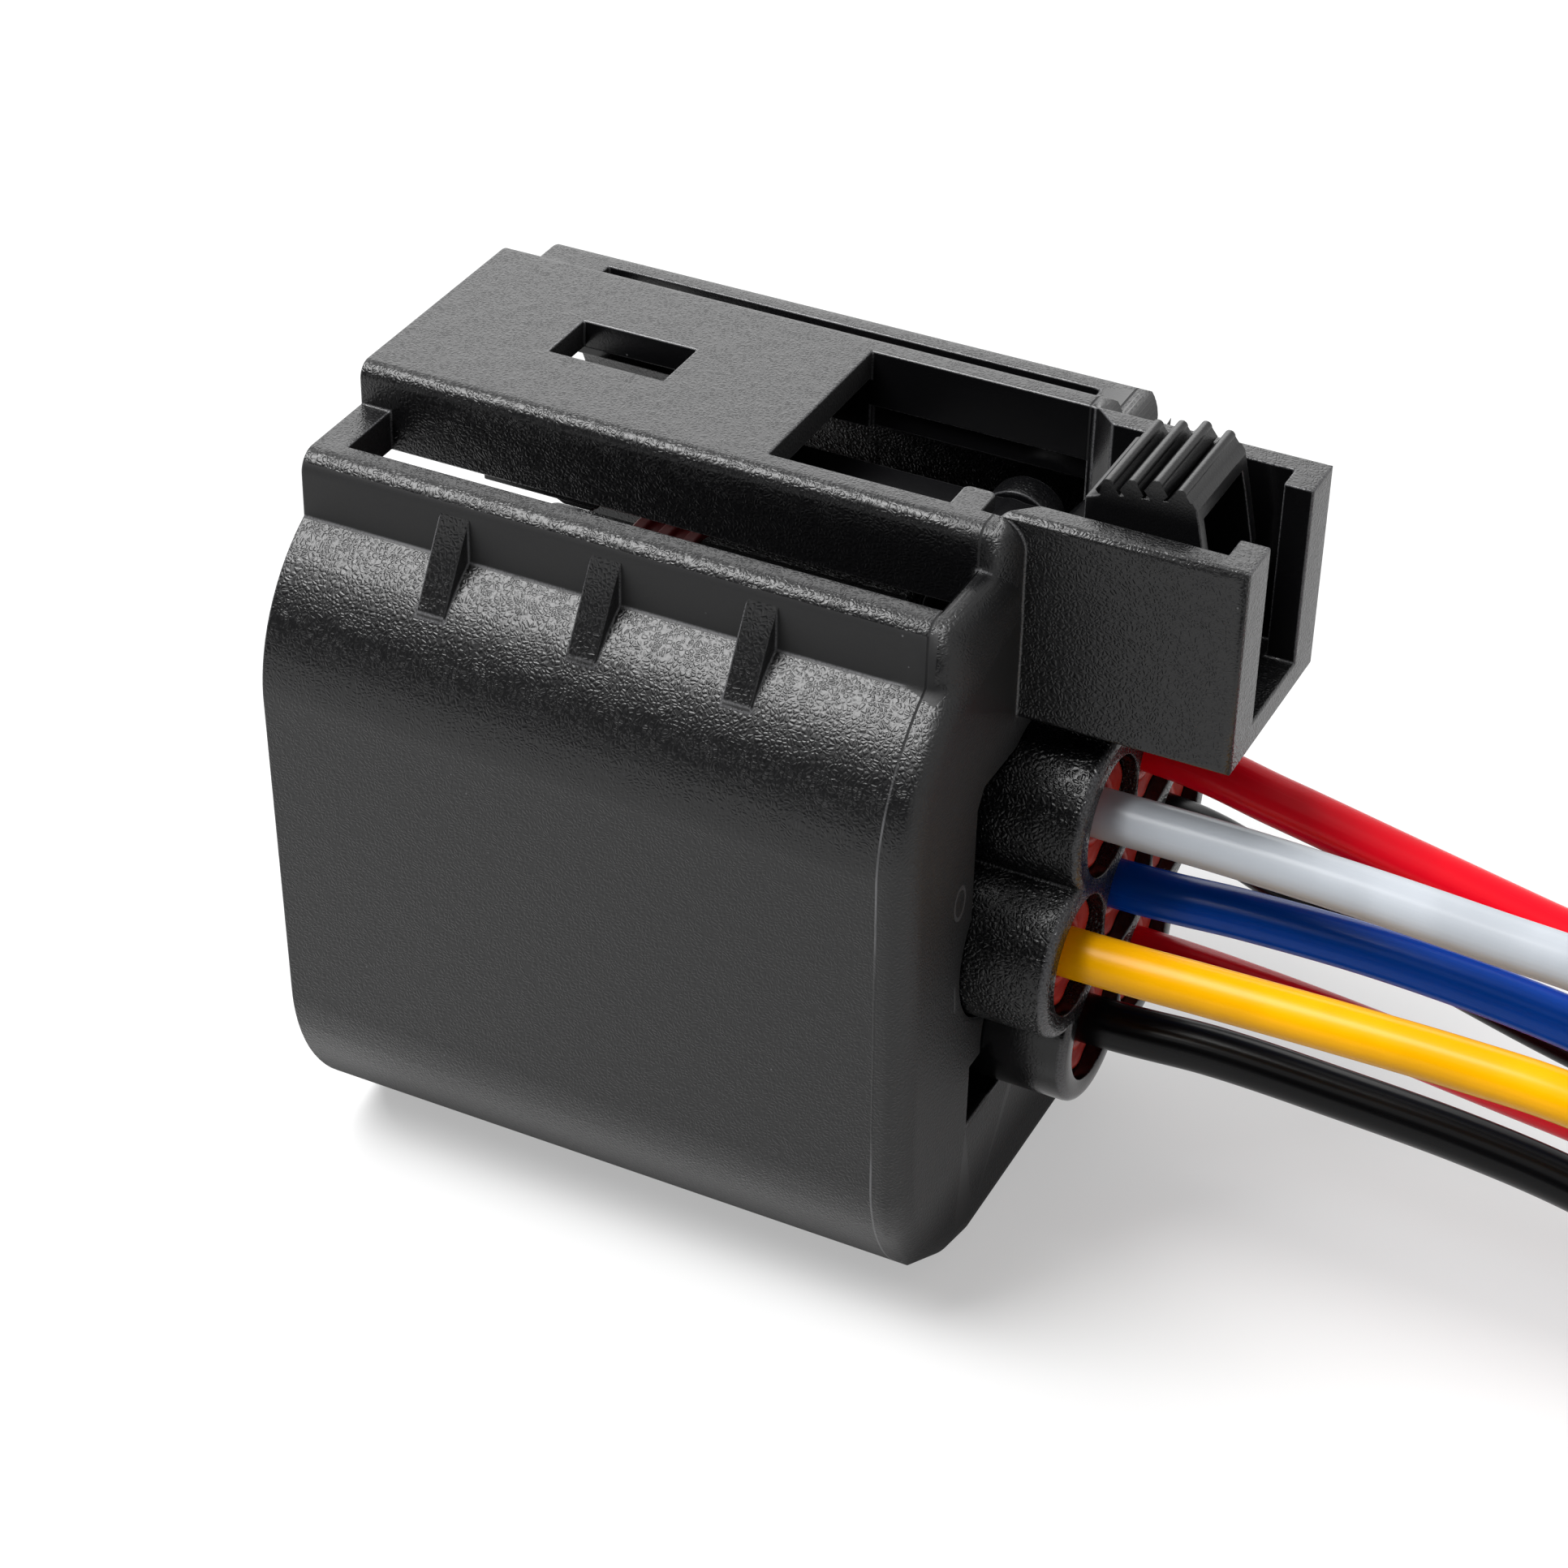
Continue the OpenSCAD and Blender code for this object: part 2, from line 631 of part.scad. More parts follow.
/* Each lead's route: [x, y, z] along its middle, from its crimp to its cut end */
ROUTES = [
    [[43, -3.5, 29.1], [50, -3.5, 29.1], [57, -3.5, 28.9], [64, -3.5, 28.5], [70, -3.5, 28.1],
     [75.5, -3.5, 26.9], [81, -3.6, 24.4], [86.5, -3.7, 20.9], [92, -3.7, 16.9], [97.5, -3.8, 12.7],
     [103, -3.9, 8.7], [109, -3.9, 5], [115, -4, 2.4], [121, -4, 1.4], [127.5, -4, 1.4],
     [134, -4, 1.4], [140.5, -4, 1.4]],
    [[43, 3.5, 29.1], [50, 3.5, 27.9], [57, 3.5, 26.5], [64, 3.5, 25.1], [70, 3.5, 23.9],
     [75.5, 3.5, 22.1], [81, 3.6, 19.3], [86.5, 3.7, 15.9], [92, 3.7, 12.3], [97.5, 3.8, 8.7],
     [103, 3.9, 5.5], [109, 3.9, 2.9], [115, 4, 1.5], [121, 4, 1.4], [127.5, 4, 1.4],
     [134, 4, 1.4], [140.5, 4, 1.4]],
    [[43, -7, 22.2], [50, -7, 22.4], [57, -7, 22.6], [64, -7, 22.7], [70, -7.1, 22.6],
     [75.5, -7.4, 21.8], [81, -7.9, 19.7], [86.5, -8.6, 16.9], [92, -9.3, 13.5], [97.5, -10, 10],
     [103, -10.7, 6.6], [109, -11.4, 3.7], [115, -11.8, 1.8], [121, -12, 1.4], [127.5, -12, 1.4],
     [134, -12, 1.4], [140.5, -12, 1.4]],
    [[43, 0, 22.2], [50, 0, 22.6], [57, 0, 22.7], [64, 0, 22.3], [70, 0, 21.5],
     [75.5, 0, 20.1], [81, 0, 17.6], [86.5, 0, 14.6], [92, 0, 11.2], [97.5, 0, 7.9],
     [103, 0, 4.9], [109, 0, 2.5], [115, 0, 1.4], [121, 0, 1.4], [127.5, 0, 1.4],
     [134, 0, 1.4], [140.5, 0, 1.4]],
    [[43, 7, 22.2], [50, 7, 20.2], [57, 7, 18], [64, 7, 16], [70, 7.1, 14.4],
     [75.5, 7.4, 12.4], [81, 7.9, 10.1], [86.5, 8.6, 7.6], [92, 9.3, 5.2], [97.5, 10, 3.2],
     [103, 10.7, 1.8], [109, 11.4, 1.4], [115, 11.8, 1.4], [121, 12, 1.4], [127.5, 12, 1.4],
     [134, 12, 1.4], [140.5, 12, 1.4]],
    [[43, -3.5, 15.3], [50, -3.5, 15.7], [57, -3.5, 15.5], [64, -3.5, 15.1], [70, -3.6, 14.4],
     [75.5, -3.9, 13.2], [81, -4.3, 11.4], [86.5, -4.9, 9], [92, -5.6, 6.6], [97.5, -6.2, 4.3],
     [103, -6.9, 2.5], [109, -7.5, 1.5], [115, -7.9, 1.4], [121, -8, 1.4], [127.5, -8, 1.4],
     [134, -8, 1.4], [140.5, -8, 1.4]],
    [[43, 3.5, 15.3], [50, 3.5, 15], [57, 3.5, 14.4], [64, 3.5, 13.6], [70, 3.6, 12.8],
     [75.5, 3.9, 11.6], [81, 4.3, 9.7], [86.5, 4.9, 7.6], [92, 5.6, 5.4], [97.5, 6.2, 3.4],
     [103, 6.9, 2], [109, 7.5, 1.4], [115, 7.9, 1.4], [121, 8, 1.4], [127.5, 8, 1.4],
     [134, 8, 1.4], [140.5, 8, 1.4]]
];
LEAD_SIDES = 8;

// Direction of a route at one of its points
function heading(route, k) = unit(route[min(k + 1, len(route) - 1)] - route[max(k - 1, 0)]);

// Ring of points around a route's point, square to its direction
function ring(route, k) =
    let (ahead = heading(route, k), side = unit(cross([0, 0, 1], ahead)), up = cross(ahead, side))
    [for (j = [0:LEAD_SIDES - 1])
        route[k] + lead_r * (cos(360 * j / LEAD_SIDES) * side + sin(360 * j / LEAD_SIDES) * up)];

// Tube of eight sides swept along a lead's route
module lead(i) {
    pos = CAVITIES[i];
    route = concat([[lead_start_x, pos[0], pos[1]]], ROUTES[i]);
    last = len(route) - 1;
    colors = ["#c3c8cc", "#d3101c", "#f5b800", "#0b3fa8", "#151515", "#151515", "#d3101c"];
    in_frame() color(colors[i]) polyhedron(
        points = [for (k = [0:last]) each ring(route, k)],
        faces = concat(
            [[for (j = [0:LEAD_SIDES - 1]) j]],
            [for (k = [0:last - 1]) for (j = [0:LEAD_SIDES - 1])
                let (a = k * LEAD_SIDES, b = (j + 1) % LEAD_SIDES)
                [a + j, a + LEAD_SIDES + j, a + LEAD_SIDES + b, a + b]],
            [[for (j = [LEAD_SIDES - 1:-1:0]) last * LEAD_SIDES + j]]
        )
    );
}

housing();
terminal_block();
latch_lever();
front_retainer();
interface_seal();
for (i = [0:len(LEADS) - 1]) {
    wire_seal(i);
    terminal(i);
    lead(i);
}
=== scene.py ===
import bpy
import bmesh
import numpy as np
from mathutils import Matrix, Vector


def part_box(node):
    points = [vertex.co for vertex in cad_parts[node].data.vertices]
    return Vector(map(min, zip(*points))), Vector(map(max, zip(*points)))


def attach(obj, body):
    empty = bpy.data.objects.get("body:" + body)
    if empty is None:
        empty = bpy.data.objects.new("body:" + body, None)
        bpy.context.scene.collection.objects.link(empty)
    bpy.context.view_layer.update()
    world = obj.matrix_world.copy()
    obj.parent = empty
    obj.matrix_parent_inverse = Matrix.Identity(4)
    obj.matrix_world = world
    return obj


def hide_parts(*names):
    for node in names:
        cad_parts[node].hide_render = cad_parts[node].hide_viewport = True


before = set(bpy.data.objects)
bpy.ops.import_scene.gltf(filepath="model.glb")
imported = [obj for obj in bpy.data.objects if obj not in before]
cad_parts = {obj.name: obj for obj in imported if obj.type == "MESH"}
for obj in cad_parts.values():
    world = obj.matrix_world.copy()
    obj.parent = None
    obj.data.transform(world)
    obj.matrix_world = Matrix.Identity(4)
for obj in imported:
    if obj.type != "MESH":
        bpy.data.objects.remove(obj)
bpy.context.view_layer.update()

# ---------------------------------------------------------------- studio
# A pale table under a plain white room, with a soft lamp over the near side and
# a larger one behind. The camera stands to the rear right of the connector and
# looks down on it.

scene = bpy.context.scene
scene.view_settings.view_transform = "Standard"
MM = 0.001

camera_data = bpy.data.cameras.new("camera")
camera_data.lens = 89.02
camera_data.sensor_width = 36
camera_data.clip_start = 0.01
camera = bpy.data.objects.new("camera", camera_data)
scene.collection.objects.link(camera)
target = np.array([1.132, -8.856, 29.005]) * MM
camera_distance = 207.937 * MM
azimuth, elevation, roll = np.radians([25.579, 34.803, 1.305])
back = np.array([np.sin(azimuth) * np.cos(elevation), -np.cos(azimuth) * np.cos(elevation),
                 np.sin(elevation)])
right = np.array([np.cos(azimuth), np.sin(azimuth), 0])
up = np.cross(back, right)
turned_right = right * np.cos(roll) + up * np.sin(roll)
turned_up = up * np.cos(roll) - right * np.sin(roll)
turn = Matrix(np.stack([turned_right, turned_up, back], 1).tolist())
camera.matrix_world = Matrix.Translation(target + back * camera_distance) @ turn.to_4x4()
scene.camera = camera


class Term:
    """A number that varies over a surface. It wraps a socket, and sums, products, quotients and powers
    of terms and plain numbers add the Math nodes that work them out."""

    def __init__(self, tree, socket):
        self.tree, self.socket = tree, socket

    def math(self, operation, *values):
        """Adds the Math node that does one operation on these values."""
        node = self.tree.nodes.new("ShaderNodeMath")
        node.operation = operation
        for socket, value in zip(node.inputs, values):
            plug(self.tree, socket, value)
        return Term(self.tree, node.outputs[0])

    def __add__(self, other):
        return self.math("ADD", self, other)

    def __radd__(self, other):
        return self.math("ADD", other, self)

    def __sub__(self, other):
        return self.math("SUBTRACT", self, other)

    def __rsub__(self, other):
        return self.math("SUBTRACT", other, self)

    def __mul__(self, other):
        return self.math("MULTIPLY", self, other)

    def __rmul__(self, other):
        return self.math("MULTIPLY", other, self)

    def __truediv__(self, other):
        return self.math("DIVIDE", self, other)

    def __pow__(self, other):
        return self.math("POWER", self, other)

    def __abs__(self):
        return self.math("ABSOLUTE", self)

    def ramp(self, low, high):
        """0 below low and 1 above high, with a smooth rise between them."""
        node = self.tree.nodes.new("ShaderNodeMapRange")
        node.interpolation_type = "SMOOTHSTEP"
        for name, value in (("Value", self), ("From Min", low), ("From Max", high)):
            plug(self.tree, node.inputs[name], value)
        return Term(self.tree, node.outputs[0])


def plug(tree, socket, value):
    """Links a term to a socket, or sets a plain value on it."""
    if isinstance(value, Term):
        tree.links.new(value.socket, socket)
    else:
        socket.default_value = value


class Finish:
    """One material with a Principled shader. Constants go on the shader's own sockets."""

    def __init__(self, name, **constants):
        self.material = bpy.data.materials.new(name)
        self.material.use_nodes = True
        self.tree = self.material.node_tree
        self.shader = self.tree.nodes["Principled BSDF"]
        for socket, value in constants.items():
            self.set(socket.replace("_", " "), value)

    def node(self, kind, settings=None, sockets=None, out=0):
        """Adds a node of a kind, with its settings and then its sockets, and gives one of its outputs."""
        node = self.tree.nodes.new("ShaderNode" + kind)
        for name, value in (settings or {}).items():
            if name == "stops":
                ramp = node.color_ramp
                while len(ramp.elements) < len(value):
                    ramp.elements.new(0.5)
                for element, (position, colour) in zip(ramp.elements, value):
                    element.position, element.color = position, colour
            else:
                setattr(node, name, value)
        for name, value in (sockets or {}).items():
            plug(self.tree, node.inputs[name], value)
        return Term(self.tree, node.outputs[out])

    def between(self, share, first, second):
        """A colour between two: the first where share is 0 and the second where it is 1."""
        return self.node("Mix", {"data_type": "RGBA"}, {0: share, 6: (*first, 1), 7: (*second, 1)}, out=2)

    def set(self, socket, value):
        """Sets one of the shader's sockets to a term or a plain value."""
        plug(self.tree, self.shader.inputs[socket], value)


def seen_itself(tree):
    """1 for camera, mirror and glass rays, which see the floor or the room itself, and 0 for the rays that
    carry its light to the connector."""
    paths = tree.nodes.new("ShaderNodeLightPath")
    camera_ray, glossy_ray, glass_ray = [Term(tree, paths.outputs[kind]) for kind in
                                         ("Is Camera Ray", "Is Glossy Ray", "Is Transmission Ray")]
    return camera_ray.math("MINIMUM", camera_ray + glossy_ray + glass_ray, 1.0)


def studio_sheet(name, corners, finish):
    """A flat four-cornered sheet that stands in the studio and is no part of the connector."""
    mesh = bpy.data.meshes.new(name)
    mesh.from_pydata(corners, [], [(0, 1, 2, 3)])
    mesh.materials.append(finish.material)
    sheet = bpy.data.objects.new(name, mesh)
    scene.collection.objects.link(sheet)


# The glow lifts the lit floor to white and leaves the shadow on it. It grows where the lamps reach less.
floor_reach, near_glow, far_glow = 3.0, 0.42, 0.5
floor_white = Finish("floor_white", Roughness=0.9, Specular_IOR_Level=0.0, Base_Color=(0.42, 0.42, 0.42, 1),
                     Emission_Color=(1, 1, 1, 1))
floor_place = floor_white.node("TexCoord", out="Object")
far_off = floor_white.node("VectorMath", {"operation": "LENGTH"}, {0: floor_place}, "Value").ramp(0.25, 0.9)
floor_white.set("Emission Strength", seen_itself(floor_white.tree) * (near_glow + far_off * far_glow))
studio_sheet("floor", [(-floor_reach, -floor_reach, 0), (floor_reach, -floor_reach, 0),
                       (floor_reach, floor_reach, 0), (-floor_reach, floor_reach, 0)], floor_white)

room_light = 0.38
world = bpy.data.worlds.new("studio")
scene.world = world
world.use_nodes = True
sky = world.node_tree.nodes["Background"]
sky.inputs["Color"].default_value = (1, 1, 1, 1)
plug(world.node_tree, sky.inputs["Strength"], seen_itself(world.node_tree) * (1 - room_light) + room_light)


def soft_lamp(name, place, size, power):
    """A square soft lamp aimed at the middle of the connector."""
    data = bpy.data.lights.new(name, "AREA")
    data.size = size
    data.energy = power
    lamp = bpy.data.objects.new(name, data)
    scene.collection.objects.link(lamp)
    middle_of_connector = Vector((0, 0, 25 * MM))
    aim = middle_of_connector - Vector(place)
    lamp.matrix_world = Matrix.Translation(place) @ aim.to_track_quat("-Z", "Y").to_matrix().to_4x4()


soft_lamp("lamp_over", place=(-0.21, -0.20, 0.54), size=0.32, power=5.6)
soft_lamp("lamp_behind", place=(-0.34, 0.60, 0.46), size=0.65, power=2.9)

# A standing black card on the camera's side, which the lower shoulders mirror. Seen straight it is as white
# as the room.
card_left, card_right, card_foot, card_top, card_y = -0.75, 0.45, 0.03, 0.30, -0.42
card_black = Finish("card_front", Roughness=1.0, Specular_IOR_Level=0.0, Base_Color=(0.01, 0.01, 0.01, 1),
                    Emission_Color=(1, 1, 1, 1))
card_black.set("Emission Strength", card_black.node("LightPath", out="Is Camera Ray"))
studio_sheet("card_front", [(card_left, card_y, card_foot), (card_right, card_y, card_foot),
                            (card_right, card_y, card_top), (card_left, card_y, card_top)], card_black)

# ---------------------------------------------------------------- leads
# Seven stranded copper leads in soft, glossy vinyl insulation, 2.8 mm over all.
# Each is crimped to its terminal, leaves the block straight through its seal and
# comes down onto the table under its own weight, and is cut off square.

lead_diameter = 2.8 * MM
block_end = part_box("terminal_block")[1].x
mating_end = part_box("housing")[0].x
# The axis of each lead in mm, with X from the mating end: from the block's rear face to the cut end.
ROUTES = {
    "white": [(43, -3.5, 29.1), (50, -3.5, 29.1), (57, -3.5, 28.9), (64, -3.5, 28.5), (70, -3.5, 28.1),
              (75.5, -3.5, 26.9), (81, -3.6, 24.4), (86.5, -3.7, 20.9), (92, -3.7, 16.9), (97.5, -3.8, 12.7),
              (103, -3.9, 8.7), (109, -3.9, 5), (115, -4, 2.4), (121, -4, 1.4), (127.5, -4, 1.4),
              (134, -4, 1.4), (140.5, -4, 1.4)],
    "red_upper": [(43, 3.5, 29.1), (50, 3.5, 27.9), (57, 3.5, 26.5), (64, 3.5, 25.1), (70, 3.5, 23.9),
                  (75.5, 3.5, 22.1), (81, 3.6, 19.3), (86.5, 3.7, 15.9), (92, 3.7, 12.3), (97.5, 3.8, 8.7),
                  (103, 3.9, 5.5), (109, 3.9, 2.9), (115, 4, 1.5), (121, 4, 1.4), (127.5, 4, 1.4),
                  (134, 4, 1.4), (140.5, 4, 1.4)],
    "yellow": [(43, -7, 22.2), (50, -7, 22.4), (57, -7, 22.6), (64, -7, 22.7), (70, -7.1, 22.6),
               (75.5, -7.4, 21.8), (81, -7.9, 19.7), (86.5, -8.6, 16.9), (92, -9.3, 13.5), (97.5, -10, 10),
               (103, -10.7, 6.6), (109, -11.4, 3.7), (115, -11.8, 1.8), (121, -12, 1.4), (127.5, -12, 1.4),
               (134, -12, 1.4), (140.5, -12, 1.4)],
    "blue": [(43, 0, 22.2), (50, 0, 22.6), (57, 0, 22.7), (64, 0, 22.3), (70, 0, 21.5),
             (75.5, 0, 20.1), (81, 0, 17.6), (86.5, 0, 14.6), (92, 0, 11.2), (97.5, 0, 7.9),
             (103, 0, 4.9), (109, 0, 2.5), (115, 0, 1.4), (121, 0, 1.4), (127.5, 0, 1.4),
             (134, 0, 1.4), (140.5, 0, 1.4)],
    "black_rear": [(43, 7, 22.2), (50, 7, 20.2), (57, 7, 18), (64, 7, 16), (70, 7.1, 14.4),
                   (75.5, 7.4, 12.4), (81, 7.9, 10.1), (86.5, 8.6, 7.6), (92, 9.3, 5.2), (97.5, 10, 3.2),
                   (103, 10.7, 1.8), (109, 11.4, 1.4), (115, 11.8, 1.4), (121, 12, 1.4), (127.5, 12, 1.4),
                   (134, 12, 1.4), (140.5, 12, 1.4)],
    "black_front": [(43, -3.5, 15.3), (50, -3.5, 15.7), (57, -3.5, 15.5), (64, -3.5, 15.1), (70, -3.6, 14.4),
                    (75.5, -3.9, 13.2), (81, -4.3, 11.4), (86.5, -4.9, 9), (92, -5.6, 6.6), (97.5, -6.2, 4.3),
                    (103, -6.9, 2.5), (109, -7.5, 1.5), (115, -7.9, 1.4), (121, -8, 1.4), (127.5, -8, 1.4),
                    (134, -8, 1.4), (140.5, -8, 1.4)],
    "red_lower": [(43, 3.5, 15.3), (50, 3.5, 15), (57, 3.5, 14.4), (64, 3.5, 13.6), (70, 3.6, 12.8),
                  (75.5, 3.9, 11.6), (81, 4.3, 9.7), (86.5, 4.9, 7.6), (92, 5.6, 5.4), (97.5, 6.2, 3.4),
                  (103, 6.9, 2), (109, 7.5, 1.4), (115, 7.9, 1.4), (121, 8, 1.4), (127.5, 8, 1.4),
                  (134, 8, 1.4), (140.5, 8, 1.4)],
}
LEAD_COLOURS = {"white": (0.46, 0.49, 0.53), "red": (0.86, 0.003, 0.016), "yellow": (0.90, 0.42, 0.0),
                "blue": (0.0, 0.060, 0.42), "black": (0.003, 0.003, 0.0035)}


def smooth_path(points, per_span=14):
    """A smooth curve through the points: on each span a cubic that starts and ends along the chord
    between the neighbours of its two ends (Catmull-Rom), worked out for all spans at once."""
    p = np.concatenate([[2 * points[0] - points[1]], points, [2 * points[-1] - points[-2]]])
    t = np.linspace(0, 1, per_span, endpoint=False)[None, :, None]
    a, b, c, d = p[:-3, None], p[1:-2, None], p[2:-1, None], p[3:, None]
    curve = 0.5 * (2 * b + (c - a) * t + (2 * a - 5 * b + 4 * c - d) * t ** 2
                   + (3 * b - a - 3 * c + d) * t ** 3)
    return np.concatenate([curve.reshape(-1, 3), points[-1:]])


def grid_mesh(name, points, cap_ends=False, uv=False):
    """A mesh from a grid of points, rows by columns: each cell is a quad, the last column meets the first,
    and the first and last rows are closed with one face each if cap_ends. With uv, v runs along the rows
    and u around the columns."""
    rows, columns = points.shape[:2]
    index = np.arange(rows * columns).reshape(rows, columns)
    around = np.concatenate([index, index[:, :1]], 1)
    quads = np.stack([around[:-1, :-1], around[:-1, 1:], around[1:, 1:], around[1:, :-1]], -1).reshape(-1, 4)
    faces = quads.tolist()
    if cap_ends:
        faces += [index[0, ::-1].tolist(), index[-1].tolist()]
    mesh = bpy.data.meshes.new(name)
    mesh.from_pydata(points.reshape(-1, 3).tolist(), [], faces)
    if uv:
        du, dv = 1 / columns, 1 / (rows - 1)
        u, v = np.tile(np.arange(columns) * du, rows - 1), np.repeat(np.arange(rows - 1) * dv, columns)
        corners = np.stack([np.stack([u + more_u, v + more_v], -1)
                            for more_u, more_v in ((0, 0), (du, 0), (du, dv), (0, dv))], 1)
        flat = np.zeros((len(mesh.loops), 2))
        flat[:len(quads) * 4] = corners.reshape(-1, 2)
        mesh.uv_layers.new(name="along").data.foreach_set("uv", flat.ravel())
    mesh.shade_smooth()
    return mesh


def tube(path, radius, sides):
    """A tube around a path: rings of points square to it, turned to keep one side upwards."""
    ahead = np.gradient(path, axis=0)
    ahead /= np.linalg.norm(ahead, axis=1, keepdims=True)
    side = np.cross([0, 0, 1], ahead)
    side /= np.linalg.norm(side, axis=1, keepdims=True)
    over = np.cross(ahead, side)
    angle = np.linspace(0, 2 * np.pi, sides, endpoint=False)[None, :, None]
    ring = np.cos(angle) * side[:, None] + np.sin(angle) * over[:, None]
    return path[:, None] + ring * radius


def add_piece(mesh, name, body, finish):
    """Makes the object of a finished mesh, at the origin, and lets it ride on its body."""
    piece = bpy.data.objects.new(name, mesh)
    scene.collection.objects.link(piece)
    mesh.materials.append(finish.material)
    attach(piece, body)
    return piece


def vinyl(colour_name):
    """Glossy insulation: a little darker and rougher in drifts along the lead, with the fine drag
    marks of the die that it was pressed through."""
    finish = Finish("vinyl_" + colour_name, Specular_IOR_Level=0.15)
    colour = LEAD_COLOURS[colour_name]
    where = finish.node("TexCoord", out="Object")
    drift = finish.node("TexNoise", sockets={"Vector": where, "Scale": 160.0, "Detail": 3.0})
    uv = finish.node("TexCoord", out="UV")
    drawn = finish.node("Mapping", sockets={"Vector": uv, "Scale": (40.0, 3.0, 1.0)})
    drag = finish.node("TexNoise", sockets={"Vector": drawn, "Scale": 1.0, "Detail": 2.0})
    darker = [part * 0.88 for part in colour]
    finish.set("Base Color", finish.between(drift.ramp(0.35, 0.7), darker, colour))
    finish.set("Roughness", 0.16 + drift * 0.10 + drag * 0.1)
    bump = finish.node("Bump", sockets={"Height": drag * 0.6 + drift * 0.4, "Strength": 0.25,
                                        "Distance": 0.00004})
    finish.set("Normal", bump)
    return finish


vinyl_finishes = {name: vinyl(name) for name in LEAD_COLOURS}
copper = Finish("copper_strands", Metallic=1.0)
copper_where = copper.node("TexCoord", out="Object")
copper_tone = copper.node("TexNoise", sockets={"Vector": copper_where, "Scale": 2500.0})
copper.set("Roughness", 0.25 + copper_tone * 0.3)
copper_stops = [(0.3, (0.75, 0.30, 0.14, 1)), (0.7, (0.93, 0.50, 0.30, 1))]
copper.set("Base Color", copper.node("ValToRGB", {"stops": copper_stops}, {"Fac": copper_tone}))


def strands(tip, radius=0.17 * MM, length=0.6 * MM):
    """The cut end of the conductor: nineteen six-sided strands packed around the lead's axis. One lies in
    the middle, six around it at twice their radius, six at four times and six between those. Each is drawn
    a little thicker, so that neighbours touch."""
    turns = np.radians(np.arange(6) * 60.0)
    spokes = np.stack([0 * turns, np.cos(turns), np.sin(turns)], 1)
    middles = np.concatenate([np.zeros((1, 3)), spokes, 2 * spokes, spokes + np.roll(spokes, 1, 0)])
    thicker = 1.04
    rims = tip + middles[:, None] * 2 * radius + spokes[None] * radius * thicker
    points = np.stack([rims - [length, 0, 0], rims], 1).reshape(-1, 3)
    faces = []
    for first in range(0, len(points), 12):
        faces += [[first + k, first + (k + 1) % 6, first + 6 + (k + 1) % 6, first + 6 + k] for k in range(6)]
        faces += [list(range(first + 5, first - 1, -1)), list(range(first + 6, first + 12))]
    mesh = bpy.data.meshes.new("strands")
    mesh.from_pydata(points.tolist(), [], faces)
    return mesh


run_in, inside_seal, strands_show = 13 * MM, 9 * MM, 0.05 * MM
for name, route in ROUTES.items():
    points = np.array(route) * MM + [mating_end, 0, 0]
    points[0, 0] = block_end
    start = points[0] - [run_in, 0, 0]
    path = smooth_path(np.concatenate([[start], points]))
    path[:, 2] = np.maximum(path[:, 2], lead_diameter / 2)
    path = path[path[:, 0] >= block_end - inside_seal]
    tip = path[-1].copy()
    path[-1, 0] -= strands_show
    colour_name = name.split("_")[0]
    mesh = grid_mesh("lead_" + name, tube(path, lead_diameter / 2, sides=32), cap_ends=True, uv=True)
    lead = add_piece(mesh, "insulation_" + name, "connector", vinyl_finishes[colour_name])
    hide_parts("lead_" + name)
    add_piece(strands(tip), "strands_" + name, "connector", copper)

# ---------------------------------------------------------------- hood
# The outer moulding: glass-filled polyamide from an etched mould, near black,
# with a fine wrinkled grain outside. Each edge has the small radius that the
# mould gives it, painted a little paler, partly as wear from handling and
# partly as a painted highlight.

hood_rear_x, parting_x, rear_faces_end_x = 13.2 * MM, 11.35 * MM, 14 * MM
cavity_half_width, cavity_end_x, cavity_top_z, roof_inside_z = 12.4 * MM, 24.9 * MM, 47.5 * MM, 30 * MM
rail_sides_y, rail_sides_z, rail_dullness = (13.9 * MM, 14.4 * MM), (41 * MM, 44.4 * MM), 1.2


def core_and_rear(middle, normal):
    """Whether the polished core moulded a face with this middle and normal, and how far the face looks back
    along the leads. The core moulded the cavity's walls, and the rails' upright sides are smooth like them
    but dull."""
    if rail_sides_y[0] < abs(middle.y) < rail_sides_y[1] and rail_sides_z[0] < middle.z < rail_sides_z[1]:
        return 1.0, rail_dullness
    inward = middle.y * normal.y < 0 or middle.z > roof_inside_z and normal.z < -0.5
    inside = abs(middle.y) < cavity_half_width and middle.x < cavity_end_x and middle.z < cavity_top_z
    return float(inward and inside), max(0.0, 2.0 * normal.x - 1.0) * (middle.x < rear_faces_end_x)


